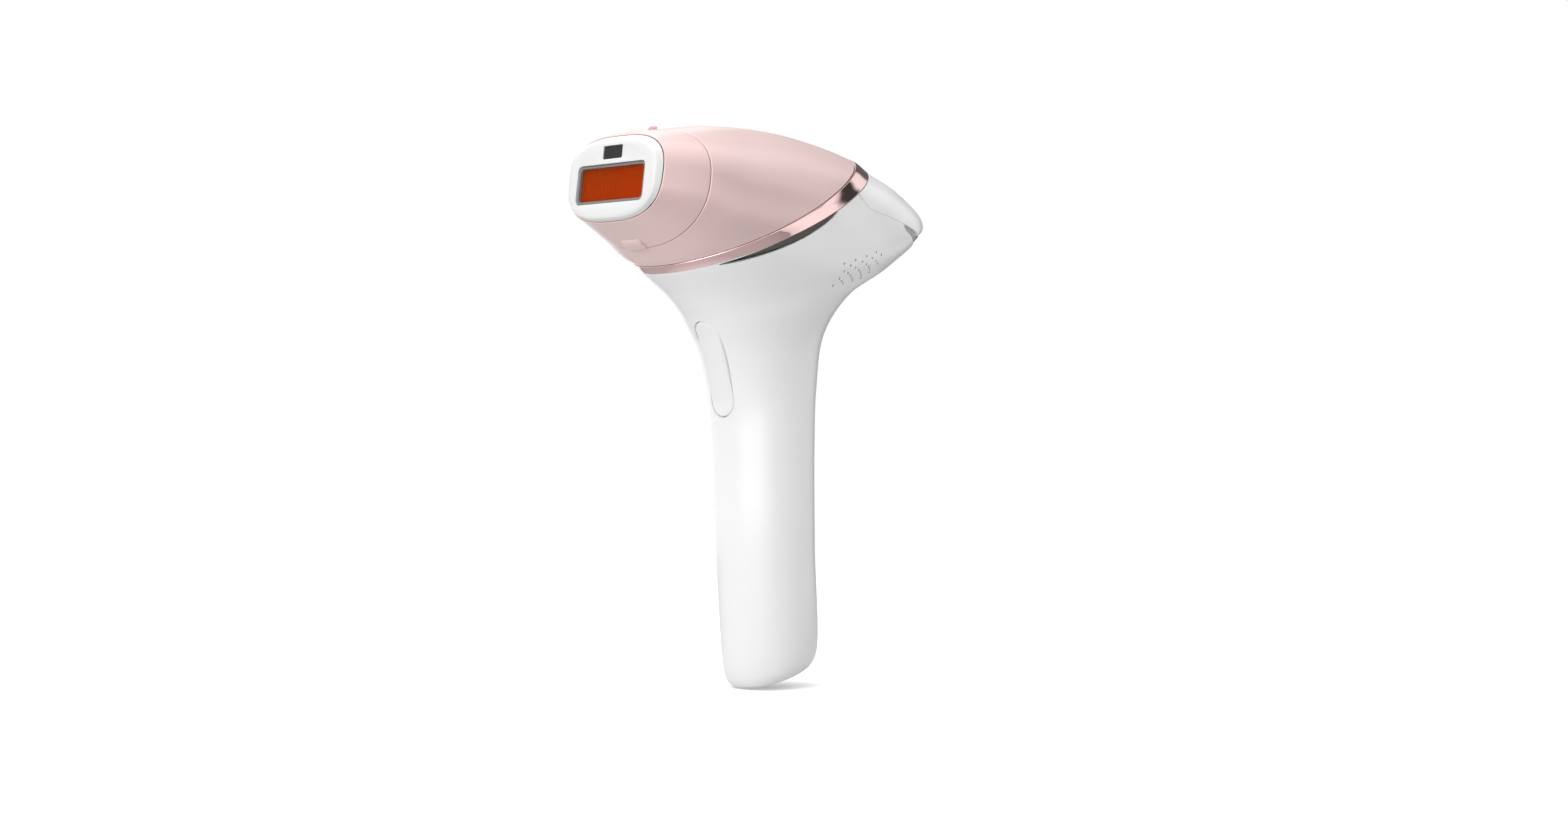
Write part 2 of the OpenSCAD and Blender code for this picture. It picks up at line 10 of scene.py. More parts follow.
import bmesh
import bpy
import numpy as np
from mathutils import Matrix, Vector


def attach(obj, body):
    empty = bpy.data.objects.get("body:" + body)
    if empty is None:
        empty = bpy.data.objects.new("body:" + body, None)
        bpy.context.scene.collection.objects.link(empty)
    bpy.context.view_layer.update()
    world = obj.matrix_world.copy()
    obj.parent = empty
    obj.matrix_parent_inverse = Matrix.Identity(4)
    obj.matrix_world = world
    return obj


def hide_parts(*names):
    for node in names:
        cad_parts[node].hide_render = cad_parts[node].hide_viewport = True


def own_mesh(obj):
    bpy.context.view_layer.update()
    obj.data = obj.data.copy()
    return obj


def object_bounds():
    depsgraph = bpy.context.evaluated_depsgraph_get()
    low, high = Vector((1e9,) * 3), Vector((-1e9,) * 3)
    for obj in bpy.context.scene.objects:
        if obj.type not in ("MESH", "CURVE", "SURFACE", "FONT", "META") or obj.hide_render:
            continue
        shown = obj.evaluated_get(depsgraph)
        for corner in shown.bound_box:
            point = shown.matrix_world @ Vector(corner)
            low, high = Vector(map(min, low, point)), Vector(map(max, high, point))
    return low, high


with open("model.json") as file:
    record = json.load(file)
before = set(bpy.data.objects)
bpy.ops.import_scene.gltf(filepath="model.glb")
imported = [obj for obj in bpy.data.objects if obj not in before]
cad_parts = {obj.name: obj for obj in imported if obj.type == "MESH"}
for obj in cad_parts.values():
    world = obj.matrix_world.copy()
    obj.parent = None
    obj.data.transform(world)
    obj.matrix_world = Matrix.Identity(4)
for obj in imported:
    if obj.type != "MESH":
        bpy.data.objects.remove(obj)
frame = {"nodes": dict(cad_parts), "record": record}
cad_low, cad_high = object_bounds()
MM = 0.001

# ---- the skin -------------------------------------------------------------------------------
HALF, GRIP, WALL = 33.0, 17.0, 2.2
# Each loop: front end y, z; rear end y, z; half width; squareness; egg; bow towards the rear
SKIN = np.array([
    [-78.5, 163.5, -74.9, 191.0, 0.69 * HALF, 3.2, -0.03, 0],
    [-75.5, 161.5, -70.5, 193.0, 0.773 * HALF, 2.8, -0.05, 1],
    [-63.3, 153.5, -57.8, 195.5, 0.94 * HALF, 2.45, -0.08, 2.6],
    [-60.5, 151.0, -35.0, 198.5, HALF, 2.3, 0, 5],
    [-58.5, 149.0, -1.0, 198.0, HALF, 2.2, 0.05, 4.5],
    [-56.5, 147.5, 35.2, 191.7, 0.97 * HALF, 2.1, 0.12, 2],
    [-54.0, 145.0, 44.0, 188.0, 0.94 * HALF, 2.1, 0.15, 2],
    [-49.5, 142.0, 62.5, 181.0, 0.91 * HALF, 2.1, 0.2, 3],
    [-44.5, 138.5, 77.0, 169.5, 0.865 * HALF, 2.1, 0.2, 3.5],
    [-39.7, 134.0, 60.0, 156.2, 0.8 * HALF, 2.1, 0.12, 3],
    [-34.5, 128.0, 35.1, 143.2, 0.73 * HALF, 2.1, 0.08, 2],
    [-28.5, 117.0, 20.7, 127.0, 1.2 * GRIP, 2.1, 0.03, 1],
    [-24.5, 99.0, 17.0, 106.0, 1.06 * GRIP, 2.1, 0, 0],
    [-22.5, 79.0, 16.0, 84.0, 1.03 * GRIP, 2.1, 0, 0],
    [-20.5, 39.0, 16.3, 47.0, GRIP, 2.1, 0, 0],
    [-16.8, -1.0, 17.3, 9.0, 0.95 * GRIP, 2.1, 0, 0],
    [-15.0, -4.6, 15.0, 4.6, 0.84 * GRIP, 2.1, 0, 0],
])
RIM, SEAM, RING_TOP, RING_LOW, SOLE = 0.6, 2, 5, 6, len(SKIN) - 1
GAP = 0.012
AROUND = 288

# Local frames: origin, then the lean of each about X
LEAN = math.radians(7.5)
FACE_AT = (-76.9, 175.7)
SENSOR_UP = 11
SOLE_TILT = math.radians(17.1)
BUTTON_AT, BUTTON_TILT = (-28.6, 111.6), math.radians(13)
BUTTON_L, BUTTON_W, BUTTON_GAP = 35.6, 11.6, 0.25
PANEL_AT, PANEL_TILT = (57.2, 183.3), math.radians(27)

# Lower edges of the control cover and of the status window round its rear end, as loop number and
# angle, and the loops each runs between
COVER_EDGE = np.array([
    [6, 121.4], [6.3, 118.6], [6.6, 116.3], [6.75, 117.2], [6.9, 119.1], [7.2, 123.3],
    [7.54, 128.6], [7.9, 135.2], [8.11, 139.4],
])
STATUS_EDGE = np.array([[7.58, 127.8], [7.66, 126.3], [7.78, 127.3], [8.11, 131.8], [8.34, 136]])
COVER_ROWS, STATUS_ROWS = (6.02, 8.1), (7.58, 8.34)
SIDE_GAP, END_GAP = 0.45, 0.014
POWER_V, LIGHTS_V, INTENSITY_V, SKIN_SENSE_V = 10, 3.5, -2, -11
INLET_FROM, INLET_TO, INLET_HEIGHT, INLET_GAP = 36, 100, 0.3, 0.012
# Exhaust holes: first hole and pitch as loop number and angle, rows, holes in a row, radius
VENT_FROM, VENT_STEP, VENT_ROWS, VENT_COLUMNS, VENT_R = (7.85, 84), (0.17, 5.4), 7, 4, 0.5


def station(t):
    """Loop values at loop numbers t: a centripetal curve through SKIN."""
    t = np.asarray(t, float)
    knots = np.vstack([2 * SKIN[0] - SKIN[1], SKIN, 2 * SKIN[-1] - SKIN[-2]])
    i = np.clip(np.floor(t).astype(int), 0, SOLE - 1)
    p0, p1, p2, p3 = (knots[i + k] for k in range(4))

    def spacing(a, b):
        d = a - b
        return np.sqrt(np.hypot(d[..., 0], d[..., 1]) + np.hypot(d[..., 2], d[..., 3]))[..., None]

    def mix(a, b, u):
        return a * (1 - u) + b * u

    t1 = spacing(p0, p1)
    t2 = t1 + spacing(p1, p2)
    t3 = t2 + spacing(p2, p3)
    x = t1 + (t - i)[..., None] * (t2 - t1)
    a1 = mix(p0, p1, x / t1)
    a2 = mix(p1, p2, (x - t1) / (t2 - t1))
    a3 = mix(p2, p3, (x - t2) / (t3 - t2))
    b1 = mix(a1, a2, x / t2)
    b2 = mix(a2, a3, (x - t1) / (t3 - t1))
    return mix(b1, b2, (x - t1) / (t2 - t1))


def surface(t, a, inset=0.0):
    """Points of the skin at loop numbers t and angles a, with each loop shrunk by inset."""
    t, a, inset = np.broadcast_arrays(np.asarray(t, float), np.asarray(a, float), inset)
    s = station(t)
    front, rear = s[..., 0:2], s[..., 2:4]
    length = np.linalg.norm(rear - front, axis=-1)
    along = (rear - front) / length[..., None]
    c, sn = np.cos(np.radians(a)), np.sin(np.radians(a))
    power = 2 + 0.9 * (s[..., 5] - 2)
    f = (1 - np.sign(c) * np.abs(c) ** (2 / power)) / 2
    bow = s[..., 7] * 4 * f * (1 - f)
    y = front[..., 0] + along[..., 0] * (inset + (length - 2 * inset) * f) + along[..., 1] * bow
    z = front[..., 1] + along[..., 1] * (inset + (length - 2 * inset) * f) - along[..., 0] * bow
    x = (s[..., 4] - inset) * np.sign(sn) * np.abs(sn) ** (2 / s[..., 5]) * (1 + s[..., 6] * c)
    return np.stack([x, y, z], -1)


def unit(v):
    return v / np.maximum(np.linalg.norm(v, axis=-1, keepdims=True), 1e-12)


def skin(t, a, depth=0.0):
    """Points at a true depth below the skin."""
    t, a = np.broadcast_arrays(np.asarray(t, float), np.asarray(a, float))
    step, turn = 0.004, 0.3
    lo, hi = np.clip(t - step, 0, SOLE), np.clip(t + step, 0, SOLE)
    along, around = surface(hi, a) - surface(lo, a), surface(t, a + turn) - surface(t, a - turn)
    normal = unit(np.cross(along, around))
    return surface(t, a) - normal * np.broadcast_to(depth, t.shape)[..., None]


def pace(t, a):
    """Millimetres of skin for one loop number, at t and a."""
    step = 0.01
    return np.linalg.norm(surface(t + step, a) - surface(t - step, a), axis=-1) / (2 * step)


# ---- local frames ---------------------------------------------------------------------------
def tilted(at, angle):
    """Frame whose third axis is +Z turned by angle about X; maps (x, v, d) to the row frame."""
    c, s = math.cos(angle), math.sin(angle)

    def place(p):
        p = np.asarray(p, float)
        y = at[0] + p[..., 1] * c - p[..., 2] * s
        z = at[1] + p[..., 1] * s + p[..., 2] * c
        return np.stack([p[..., 0], y, z], -1)

    def local(p):
        y, z = p[..., 1] - at[0], p[..., 2] - at[1]
        return np.stack([p[..., 0], y * c + z * s, -y * s + z * c], -1)

    place.local = local
    return place


on_axis = tilted(FACE_AT, math.pi / 2 - LEAN)
on_button = tilted(BUTTON_AT, math.pi / 2 + BUTTON_TILT)
on_panel = tilted(PANEL_AT, -PANEL_TILT)
on_sole = tilted((0, 0), SOLE_TILT)


# ---- meshes ---------------------------------------------------------------------------------
def new_object(name, points, faces, material=None):
    mesh = bpy.data.meshes.new(name)
    mesh.from_pydata((np.asarray(points) * MM).tolist(), [], faces)
    mesh.validate()
    mesh.update()
    obj = bpy.data.objects.new(name, mesh)
    bpy.context.scene.collection.objects.link(obj)
    if material is not None:
        mesh.materials.append(material)
    return obj


def grid_faces(m, n, wrap_rows, wrap_columns):
    rows = range(m if wrap_rows else m - 1)
    columns = range(n if wrap_columns else n - 1)
    return [
        (i * n + k, (i + 1) % m * n + k, (i + 1) % m * n + (k + 1) % n, i * n + (k + 1) % n)
        for i in rows for k in columns
    ]


def torus(name, rows, material=None):
    """Closed tube: rows wrap round, and so do the columns."""
    rows = np.array(rows)
    m, n = rows.shape[:2]
    return new_object(name, rows.reshape(-1, 3), grid_faces(m, n, True, True), material)


def stack(name, rows, material=None):
    """Solid through a stack of loops, closed with a flat face at each end."""
    rows = np.array(rows)
    m, n = rows.shape[:2]
    faces = grid_faces(m, n, False, True)
    faces.append(tuple(range(n)))
    faces.append(tuple((m - 1) * n + k for k in reversed(range(n))))
    return new_object(name, rows.reshape(-1, 3), faces, material)


def slab(name, top, under, material=None):
    """Closed sheet between two grids of points."""
    top, under = np.array(top), np.array(under)
    m, n = top.shape[:2]
    count = m * n
    upper = grid_faces(m, n, False, False)
    lower = [tuple(v + count for v in reversed(f)) for f in upper]
    edge = list(range(n)) + [i * n + n - 1 for i in range(1, m)]
    edge += [(m - 1) * n + k for k in range(n - 2, -1, -1)] + [i * n for i in range(m - 2, 0, -1)]
    side = []
    for k, v in enumerate(edge):
        w = edge[(k + 1) % len(edge)]
        side.append((v, w, w + count, v + count))
    points = np.concatenate([top.reshape(-1, 3), under.reshape(-1, 3)])
    return new_object(name, points, upper + lower + side, material)


def smooth(obj, angle=32):
    obj.data.shade_smooth()
    obj.data.set_sharp_from_angle(angle=math.radians(angle))
    return obj


def join(name, parts, material=None):
    """One mesh from several, without moving anything."""
    points, faces = [], []
    for part in parts:
        base = len(points)
        points += [v.co[:] for v in part.data.vertices]
        faces += [tuple(base + v for v in p.vertices) for p in part.data.polygons]
        bpy.data.objects.remove(part)
    return new_object(name, np.array(points) / MM, faces, material)


def face_outward(obj):
    work = bmesh.new()
    work.from_mesh(obj.data)
    bmesh.ops.recalc_face_normals(work, faces=work.faces)
    work.to_mesh(obj.data)
    work.free()


def cut(obj, tools):
    """Takes the tools out of obj and removes them."""
    for tool in tools:
        face_outward(tool)
        mod = obj.modifiers.new("cut", "BOOLEAN")
        mod.operation, mod.solver, mod.object = "DIFFERENCE", "EXACT", tool
        graph = bpy.context.evaluated_depsgraph_get()
        mesh = bpy.data.meshes.new_from_object(obj.evaluated_get(graph))
        obj.modifiers.clear()
        obj.data = mesh
        bpy.data.objects.remove(tool)
    return obj


def rounded_outline(w, h, r, n=10):
    points = []
    for cx, cy, start in ((1, 1, 0), (-1, 1, 90), (-1, -1, 180), (1, -1, 270)):
        for k in range(n + 1):
            a = math.radians(start + 90 * k / n)
            points.append((cx * (w / 2 - r) + r * math.cos(a), cy * (h / 2 - r) + r * math.sin(a)))
    return np.array(points)


def at_height(outline, d):
    return np.column_stack([outline, np.full(len(outline), d)])


def prism(name, place, outline, low, high, material=None):
    return stack(name, [place(at_height(outline, high)), place(at_height(outline, low))], material)


def place_piece(obj, body, slot, *nodes):
    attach(obj, body)
    if nodes:
        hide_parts(*nodes)
    return obj


# ---- materials ------------------------------------------------------------------------------
def linear(r, g, b):
    """Colour from 8-bit sRGB values."""
    def one(v):
        v /= 255
        return v / 12.92 if v <= 0.04045 else ((v + 0.055) / 1.055) ** 2.4
    return (one(r), one(g), one(b), 1)


class Shader:
    """A principled material with helpers that add procedural detail."""

    def __init__(self, name, colour, rough, **values):
        self.material = bpy.data.materials.new(name)
        self.material.use_nodes = True
        self.nodes = self.material.node_tree.nodes
        self.links = self.material.node_tree.links
        self.bsdf = self.nodes["Principled BSDF"]
        self.set("Base Color", colour)
        self.set("Roughness", rough)
        for key, value in values.items():
            self.set(key.replace("_", " "), value)

    def set(self, key, value):
        self.bsdf.inputs[key].default_value = value

    def node(self, kind, **values):
        made = self.nodes.new(kind)
        for key, value in values.items():
            setattr(made, key, value)
        return made

    def noise(self, scale, detail=3.0):
        where = self.node("ShaderNodeTexCoord")
        noise = self.node("ShaderNodeTexNoise")
        noise.inputs["Scale"].default_value = scale
        noise.inputs["Detail"].default_value = detail
        self.links.new(where.outputs["Object"], noise.inputs["Vector"])
        return noise.outputs["Fac"]

    def vary_rough(self, scale, low, high):
        spread = self.node("ShaderNodeMapRange")
        spread.inputs["To Min"].default_value = low
        spread.inputs["To Max"].default_value = high
        self.links.new(self.noise(scale), spread.inputs["Value"])
        self.links.new(spread.outputs["Result"], self.bsdf.inputs["Roughness"])
        return self

    def vary_colour(self, scale, one, two, detail=3.0):
        ramp = self.node("ShaderNodeMix", data_type="RGBA")
        ramp.inputs[6].default_value = one
        ramp.inputs[7].default_value = two
        self.links.new(self.noise(scale, detail), ramp.inputs[0])
        self.links.new(ramp.outputs[2], self.bsdf.inputs["Base Color"])
        return self

    def bump(self, scale, strength, distance=0.0001):
        bump = self.node("ShaderNodeBump")
        bump.inputs["Strength"].default_value = strength
        bump.inputs["Distance"].default_value = distance
        self.links.new(self.noise(scale, 2.0), bump.inputs["Height"])
        self.links.new(bump.outputs["Normal"], self.bsdf.inputs["Normal"])
        return self


def white_plastic():
    coat = {"Coat_Weight": 0.25, "Coat_Roughness": 0.1}
    s = Shader("white_plastic", linear(244, 244, 243), 0.28, **coat)
    s.vary_colour(18, linear(243, 244, 244), linear(246, 246, 245))
    return s.vary_rough(160, 0.26, 0.32).material


def shaded_face_white():
    """Slightly greyer copy of the white plastic for the face that rests on the skin: painted shade.
    """
    s = Shader("shaded_face_white", linear(222, 222, 222), 0.34)
    s.vary_colour(18, linear(219, 220, 220), linear(223, 223, 222))
    return s.vary_rough(160, 0.32, 0.38).material


def painted_shade_inside():
    """Dark grey on the inner face of the white housing: painted shade for the shadowed inside of
    the shell.
    """
    s = Shader("painted_shade_inside", linear(58, 58, 60), 0.6)
    s.vary_colour(90, linear(52, 52, 54), linear(66, 66, 68))
    return s.vary_rough(300, 0.5, 0.65).material


def pink_plastic():
    """Pearl lacquer under a clear satin coat; the colour pales towards grazing angles, a painted
    sheen.
    """
    coat = {"Coat_Weight": 0.3, "Coat_Roughness": 0.18}
    s = Shader("pink_plastic", linear(226, 190, 188), 0.36, Metallic=0.15, **coat)
    # Painted sheen: the base colour turns paler towards grazing angles.
    facing = s.node("ShaderNodeLayerWeight")
    facing.inputs["Blend"].default_value = 0.3
    mix = s.node("ShaderNodeMix", data_type="RGBA")
    mix.inputs[6].default_value = linear(227, 197, 196)
    mix.inputs[7].default_value = linear(243, 218, 214)
    s.links.new(facing.outputs["Facing"], mix.inputs[0])
    fleck = s.node("ShaderNodeMix", data_type="RGBA", blend_type="OVERLAY")
    fleck.inputs[0].default_value = 0.04
    s.links.new(mix.outputs[2], fleck.inputs[6])
    s.links.new(s.noise(5200, 1.0), fleck.inputs[7])
    s.links.new(fleck.outputs[2], s.bsdf.inputs["Base Color"])
    return s.vary_rough(220, 0.32, 0.4).material


def rose_chrome():
    s = Shader("rose_chrome", linear(238, 205, 203), 0.05, Metallic=1.0)
    s.vary_colour(40, linear(236, 202, 201), linear(240, 208, 206))
    return s.vary_rough(300, 0.04, 0.08).material


def dark_plastic(name, tone, rough):
    s = Shader(name, linear(tone, tone, tone), rough)
    s.vary_colour(60, linear(tone, tone, tone), linear(tone + 10, tone + 10, tone + 9))
    return s.vary_rough(400, rough - 0.05, rough + 0.08).bump(3000, 0.1).material


def filter_glass():
    """Dyed glass: lets orange light through, scatters some of it and mirrors the room."""
    s = Shader("orange_glass", linear(214, 84, 0), 0.08, Coat_Weight=0.6, Coat_Roughness=0.02)
    s.vary_colour(30, linear(206, 76, 0), linear(220, 90, 0))
    s.vary_rough(200, 0.06, 0.1)
    clear = s.node("ShaderNodeBsdfTransparent")
    clear.inputs["Color"].default_value = linear(255, 150, 20)
    mix = s.node("ShaderNodeMixShader")
    mix.inputs["Fac"].default_value = 0.36
    s.links.new(clear.outputs["BSDF"], mix.inputs[1])
    s.links.new(s.bsdf.outputs["BSDF"], mix.inputs[2])
    s.links.new(mix.outputs["Shader"], s.nodes["Material Output"].inputs["Surface"])
    return s.material


def clear_glass():
    """Thin quartz: nearly all clear, with the room mirrored towards its edges."""
    s = Shader("clear_glass", linear(235, 245, 250), 0.03)
    s.vary_rough(200, 0.02, 0.05)
    clear = s.node("ShaderNodeBsdfTransparent")
    clear.inputs["Color"].default_value = linear(244, 250, 252)
    fresnel = s.node("ShaderNodeFresnel")
    mix = s.node("ShaderNodeMixShader")
    s.links.new(fresnel.outputs["Fac"], mix.inputs["Fac"])
    s.links.new(clear.outputs["BSDF"], mix.inputs[1])
    s.links.new(s.bsdf.outputs["BSDF"], mix.inputs[2])
    s.links.new(mix.outputs["Shader"], s.nodes["Material Output"].inputs["Surface"])
    return s.material


def metal(name, colour, rough):
    s = Shader(name, colour, rough, Metallic=1.0)
    s.vary_colour(120, colour, tuple(0.85 * c for c in colour[:3]) + (1,))
    return s.vary_rough(500, rough, rough + 0.1).bump(1800, 0.05).material


def circuit_board():
    s = Shader("board", linear(20, 90, 50), 0.3, Coat_Weight=0.3)
    s.vary_colour(900, linear(14, 74, 40), linear(30, 110, 62))
    return s.vary_rough(300, 0.25, 0.4).material


def wire():
    s = Shader("wire", linear(170, 30, 26), 0.4)
    return s.vary_colour(300, linear(160, 26, 24), linear(182, 40, 34)).material


MATERIALS = {
    "white_plastic": white_plastic(),
    "pink_plastic": pink_plastic(),
    "rose_chrome": rose_chrome(),
    "inlet_plastic": dark_plastic("inlet_plastic", 78, 0.6),
    "smoked_window": dark_plastic("smoked_window", 40, 0.22),
    "orange_glass": filter_glass(),
    "grey_bezel": dark_plastic("grey_bezel", 122, 0.35),
    "reflector_metal": metal("reflector_metal", (0.86, 0.86, 0.85, 1), 0.22),
    "inner_plastic": dark_plastic("inner_plastic", 150, 0.45),
    "black_plastic": dark_plastic("black_plastic", 22, 0.4),
    "spring_steel": metal("spring_steel", (0.72, 0.72, 0.73, 1), 0.25),
    "board": circuit_board(),
    "contact_gold": metal("contact_gold", (0.95, 0.72, 0.32, 1), 0.18),
    "clear_glass": clear_glass(),
    "gasket_rubber": dark_plastic("gasket_rubber", 28, 0.75),
    "heat_sink_metal": metal("heat_sink_metal", (0.8, 0.8, 0.82, 1), 0.35),
    "bronze": metal("bronze", (0.7, 0.48, 0.25, 1), 0.4),
    "capacitor_sleeve": dark_plastic("capacitor_sleeve", 34, 0.3),
    "winding": metal("winding", (0.72, 0.36, 0.16, 1), 0.35),
    "light_guide": dark_plastic("light_guide", 225, 0.25),
    "wire": wire(),
}
# Dark grey for the housing's inner faces: painted shade.
INSIDE_PAINTED_SHADE = painted_shade_inside()
# Darker copy of the white plastic for the contact face: painted shade.
SHADED_FACE_WHITE = shaded_face_white()
STATUS_LENS = dark_plastic("status_lens", 165, 0.3)
SLOT_OF = {s["node"]: s["material_slot"] for s in frame["record"]["subparts"]}


# ---- skin pieces ----------------------------------------------------------------------------
ANGLES = np.linspace(0, 360, AROUND, endpoint=False)


def band(name, start, end, rows, thickness, edge, material, proud=lambda u: 0 * u):
    """Cover between two loops: rounded edges, and proud(u) above the skin from start to end."""
    start, end = np.broadcast_to(start, AROUND), np.broadcast_to(end, AROUND)
    first, last = 1 / pace(start + 0.02, ANGLES), 1 / pace(end - 0.02, ANGLES)
    grid = []
    turns = np.radians(np.linspace(0, 90, 6))
    for turn in turns:
        slip, drop = edge * (1 - math.cos(turn)), edge * (1 - math.sin(turn))
        grid.append(skin(start + slip * first, ANGLES, drop - proud(np.zeros(1))))
    a, b = start + edge * first, end - edge * last
    for u in np.linspace(0, 1, rows)[1:-1]:
        grid.append(skin(a + (b - a) * u, ANGLES, -proud(np.full(1, u))))
    for turn in turns[::-1]:
        slip, drop = edge * (1 - math.cos(turn)), edge * (1 - math.sin(turn))
        grid.append(skin(end - slip * last, ANGLES, drop - proud(np.ones(1))))
    grid.append(surface(end, ANGLES, thickness))
    for u in np.linspace(1, 0, 12)[1:-1]:
        grid.append(surface(start + (end - start) * u, ANGLES, thickness))
    grid.append(surface(start, ANGLES, thickness))
    return smooth(torus(name, grid, material))


def head_cover():
    pink = MATERIALS["pink_plastic"]
    obj = band("head_cover_skin", SEAM + GAP, RING_TOP - GAP, 120, 2.4, 0.35, pink)
    place_piece(obj, "device", "pink_plastic", "head_cover")


def trim_ring():
    obj = band(
        "trim_ring_skin", RING_TOP + GAP, RING_LOW - GAP, 24, 2.0, 0.3, MATERIALS["rose_chrome"],
        proud=lambda u: 0.15 + 0.06 * np.sin(np.pi * u),
    )
    place_piece(obj, "device", "rose_chrome", "trim_ring")


def edge_angle(rows, edge):
    """Angle of a cover's lower edge at loop numbers rows, smoothed between its named points."""
    spread = np.linspace(-0.06, 0.06, 7)
    return np.mean([np.interp(rows + d, edge[:, 0], edge[:, 1]) for d in spread], 0)


def patch_grid(rows, low, columns, gather=0.1):
    """Loop numbers and angles of a patch from low to 360 - low, closer together at its sides."""
    u = np.linspace(0, 1, columns)
    u = u - gather * np.sin(2 * np.pi * u) / (2 * np.pi) * 9
    t = np.broadcast_to(rows[:, None], (len(rows), columns))
    a = low[:, None] + (360 - 2 * low[:, None]) * u[None, :]
    return t, a


def border_drop(points, edge):
    """Depth that rounds a grid's border by edge, from each point's distance to the border."""
    def from_ends(p):
        steps = np.cumsum(np.linalg.norm(np.diff(p, axis=0), axis=-1), 0)
        run = np.concatenate([np.zeros((1,) + p.shape[1:2]), steps])
        return np.minimum(run, run[-1:] - run)

    d = np.minimum(from_ends(points), from_ends(points.swapaxes(0, 1)).T)
    d = np.clip(edge - d, 0, edge)
    return edge - np.sqrt(np.maximum(edge**2 - d**2, 0))


def skin_patch(name, span, low, n, columns, thickness, edge, material, proud=0.0):
    """Cover that follows the skin over a span of loops, with its rows closer at both ends."""
    close = 0.03 * np.array([0, 0.1, 0.25, 0.5, 0.9])
    middle = np.linspace(span[0] + 0.04, span[1] - 0.04, n)
    rows = np.concatenate([span[0] + close, middle, span[1] - close[::-1]])
    t, a = patch_grid(rows, edge_angle(rows, low), columns)
    drop = border_drop(surface(t, a), edge)
    return slab(name, skin(t, a, drop - proud), surface(t, a, thickness), material)


def opening(start, end, low):
    """Tool for the opening round a cover, with a gap at its sides and its rear end."""
    rows = np.linspace(start, end + END_GAP, 90)
    t, a = patch_grid(rows, edge_angle(rows, low) - SIDE_GAP, 90)
    return slab("opening", skin(t, a, -3), surface(t, a, WALL + 3))


def cover_opening():
    return opening(COVER_ROWS[0] - 0.06, COVER_ROWS[1], COVER_EDGE)


def inlet_grid(side, grow, n=90, m=9):
    """Loop numbers and angles over one air inlet, grown by a number of loops."""
    a = np.linspace(INLET_FROM, INLET_TO, n)
    arch = np.sin(np.pi * (a - INLET_FROM) / (INLET_TO - INLET_FROM)).clip(0) ** 0.6
    a[0], a[-1] = a[0] - 30 * grow, a[-1] + 30 * grow
    top = RING_LOW + GAP
    low = top + np.maximum(INLET_HEIGHT * arch, 0.04) + grow
    u = np.linspace(0, 1, m)[:, None]
    t = (top - grow) * (1 - u) + low * u
    if grow:
        t[0] -= 0.06
    a = np.broadcast_to(a, t.shape)
    return (t, a) if side > 0 else (t[:, ::-1], 360 - a[:, ::-1])


def rod_through_skin(t, a, r, side):
    """Thin rod across the skin at t and a, mirrored in X where side is -1."""
    out, inner = skin(t, a, -1), skin(t, a, 1.6 * WALL)
    axis = unit(inner - out)
    across = unit(np.cross(axis, [0, 0, 1]))
    up = np.cross(axis, across)
    turns = np.linspace(0, 2 * np.pi, 16, endpoint=False)[:, None]
    circle = r * (np.cos(turns) * across + np.sin(turns) * up)
    flip = np.array([side, 1, 1])
    return stack("hole", [(out + circle) * flip, (inner + circle) * flip])


def exhaust_tools():
    """Rods for the rows of holes on both sides of the tail's underside."""
    rods = []
    for side in (-1, 1):
        for i in range(VENT_ROWS):
            for j in range(VENT_COLUMNS):
                t = VENT_FROM[0] + VENT_STEP[0] * i
                a = VENT_FROM[1] + VENT_STEP[1] * (j + 0.5 * (i % 2))
                rods.append(rod_through_skin(t, a, VENT_R, side))
    return join("exhaust_holes", rods)


def sole_rows():
    """Rounded edge, flat sole, socket hole and the floor's inner face."""
    turn = np.radians(ANGLES)
    rows = []
    loop, before = surface(SOLE, ANGLES), surface(SOLE - 0.3, ANGLES)
    inner = surface(SOLE, ANGLES, 2.6)
    for u in np.linspace(0, 1, 12)[1:]:
        rows.append((1 - u) ** 2 * before + 2 * u * (1 - u) * loop + u**2 * inner)

    def circle(r, h):
        return on_sole(np.column_stack([r * np.sin(turn), -r * np.cos(turn), np.full(AROUND, h)]))

    hole = 6.7
    for u in (0.35, 0.7, 0.95):
        rows.append(inner * (1 - u) + circle(hole, 0) * u)
    for k in range(5):
        quarter = math.radians(90 * k / 4)
        rows.append(circle(hole + 0.3 - 0.3 * math.sin(quarter), 0.3 - 0.3 * math.cos(quarter)))
    rows.append(circle(hole, WALL))
    return rows


